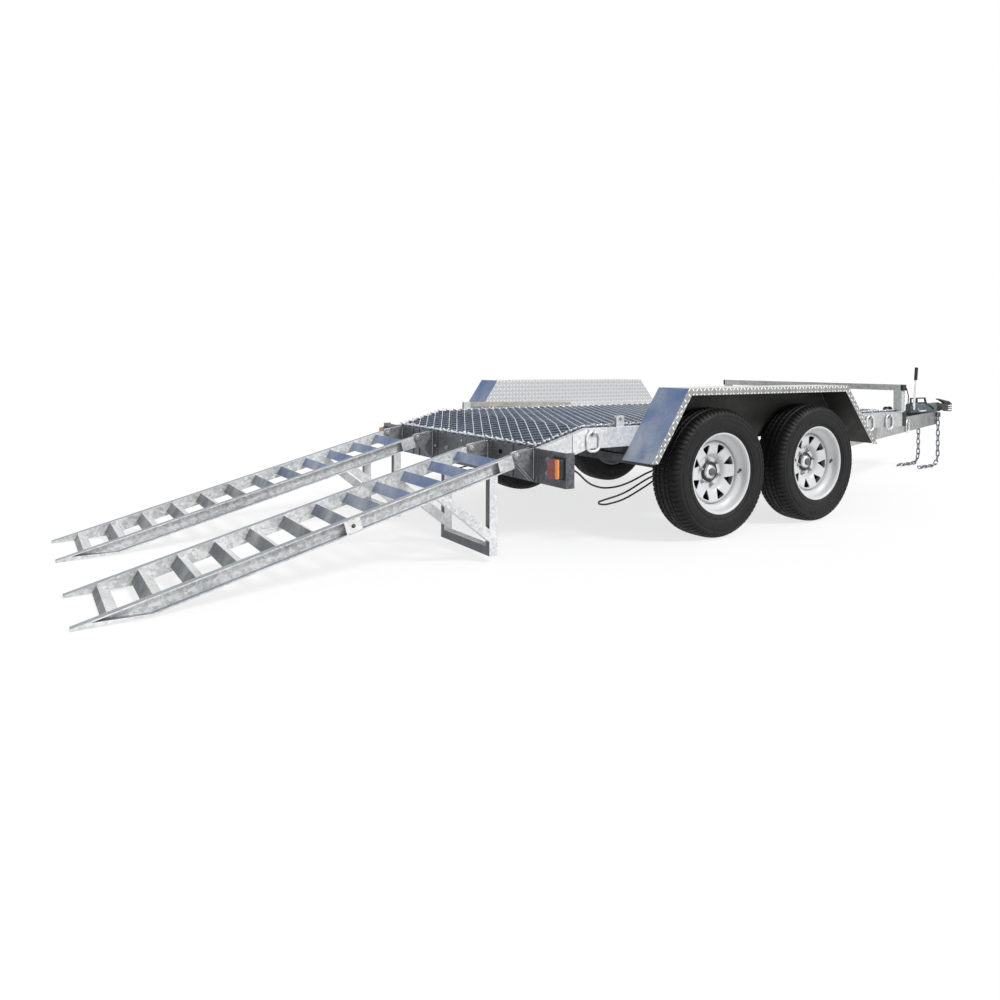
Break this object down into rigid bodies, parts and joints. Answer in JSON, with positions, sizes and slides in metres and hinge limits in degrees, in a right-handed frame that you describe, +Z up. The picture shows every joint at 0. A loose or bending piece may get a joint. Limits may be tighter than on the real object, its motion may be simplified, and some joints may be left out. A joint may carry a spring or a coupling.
{
  "type": "plant trailer",
  "caption": "Flat galvanised plant trailer on close-set wheels with guards, beavertail deck and lowered ladder ramps.",
  "frame": {"origin": "on the floor, half way along between the ramp tips and the coupling's nose, on the centre line", "axes": "+X forward to the coupling, +Y to the trailer's left, +Z up"},
  "size_m": [6.7614, 2.09, 0.8725],
  "materials": {
    "amber_lens": "amber lens",
    "black_paint": "satin black paint",
    "black_plastic": "black moulded plastic",
    "bright_metal": "bright plated steel",
    "cable_sheath": "black cable sheath",
    "chain_zinc": "zinc plated chain",
    "chassis_shade": "galvanised, dull from road dirt",
    "floor_zinc": "dull galvanised floor sheet",
    "galvanised": "hot dip galvanised steel",
    "guard_zinc": "hot dip galvanised plate, chequered on the walls and lips",
    "mesh_zinc": "galvanised expanded metal",
    "red_lens": "red lens",
    "tyre_rubber": "black rubber",
    "wheel_paint": "silver white wheel paint"
  },
  "bodies": {
    "chassis": {"axle_front": "chassis_shade", "axle_rear": "chassis_shade", "brake_cables": "cable_sheath", "coupling_gaiter": "black_plastic", "coupling_handle": "black_paint", "coupling_head": "black_paint", "coupling_housing": "galvanised", "cross_bearers": "chassis_shade", "deck_floor": "floor_zinc", "drawbar_member_left": "galvanised", "drawbar_member_right": "galvanised", "drawbar_nose": "galvanised", "front_posts": "galvanised", "front_rail": "galvanised", "handbrake_grip": "black_plastic", "handbrake_lever": "bright_metal", "hinge_lugs": "galvanised", "housing_loop": "black_paint", "lamp_amber": "amber_lens", "lamp_backs": "black_plastic", "lamp_cables": "cable_sheath", "lamp_red": "red_lens", "lashing_rings": "galvanised", "leaf_springs": "chassis_shade", "mesh_strands_lower": "mesh_zinc", "mesh_strands_upper": "mesh_zinc", "rail_ends": "black_plastic", "ramp_hinge_pins": "bright_metal", "rear_panel": "galvanised", "safety_chain_left": "chain_zinc", "safety_chain_right": "chain_zinc", "side_rail_left": "galvanised", "side_rail_right": "galvanised", "spring_hangers": "chassis_shade", "stay_brackets": "galvanised", "wheel_guard_left": "guard_zinc", "wheel_guard_right": "guard_zinc"},
    "stay_left": {"stay_arm_left": "galvanised"},
    "wheel_front_right": {"hub_front_right": "black_paint", "rim_front_right": "wheel_paint", "tyre_front_right": "tyre_rubber"},
    "wheel_rear_right": {"hub_rear_right": "black_paint", "rim_rear_right": "wheel_paint", "tyre_rear_right": "tyre_rubber"},
    "wheel_front_left": {"hub_front_left": "black_paint", "rim_front_left": "wheel_paint", "tyre_front_left": "tyre_rubber"},
    "wheel_rear_left": {"hub_rear_left": "black_paint", "rim_rear_left": "wheel_paint", "tyre_rear_left": "tyre_rubber"},
    "ramp_right": {"ramp_catch_right": "galvanised", "ramp_rails_right": "galvanised", "ramp_rungs_right": "galvanised", "ramp_stand_right": "galvanised"},
    "ramp_left": {"ramp_catch_left": "galvanised", "ramp_rails_left": "galvanised", "ramp_rungs_left": "galvanised", "ramp_stand_left": "galvanised"}
  },
  "joints": [
    {"name": "wheel_front_right_spin", "type": "hinge", "parent": "chassis", "child": "wheel_front_right", "pos_m": [0.14474, -0.934, 0.332], "axis": [0, 1, 0], "continuous": true},
    {"name": "wheel_rear_right_spin", "type": "hinge", "parent": "chassis", "child": "wheel_rear_right", "pos_m": [-0.62326, -0.934, 0.332], "axis": [0, 1, 0], "continuous": true},
    {"name": "wheel_front_left_spin", "type": "hinge", "parent": "chassis", "child": "wheel_front_left", "pos_m": [0.14474, 0.934, 0.332], "axis": [0, 1, 0], "continuous": true},
    {"name": "wheel_rear_left_spin", "type": "hinge", "parent": "chassis", "child": "wheel_rear_left", "pos_m": [-0.62326, 0.934, 0.332], "axis": [0, 1, 0], "continuous": true},
    {"name": "ramp_right_lift", "type": "hinge", "parent": "chassis", "child": "ramp_right", "pos_m": [-1.68626, -0.539, 0.462], "axis": [0, 1, 0], "range_deg": [0, 109.93]},
    {"name": "ramp_left_lift", "type": "hinge", "parent": "chassis", "child": "ramp_left", "pos_m": [-1.68626, 0.539, 0.462], "axis": [0, 1, 0], "range_deg": [0, 109.93]},
    {"name": "stay_left_swing", "type": "hinge", "parent": "chassis", "child": "stay_left", "pos_m": [-1.12126, 0.805, 0.614], "axis": [0, -1, 0], "range_deg": [0, 130.74]}
  ]
}
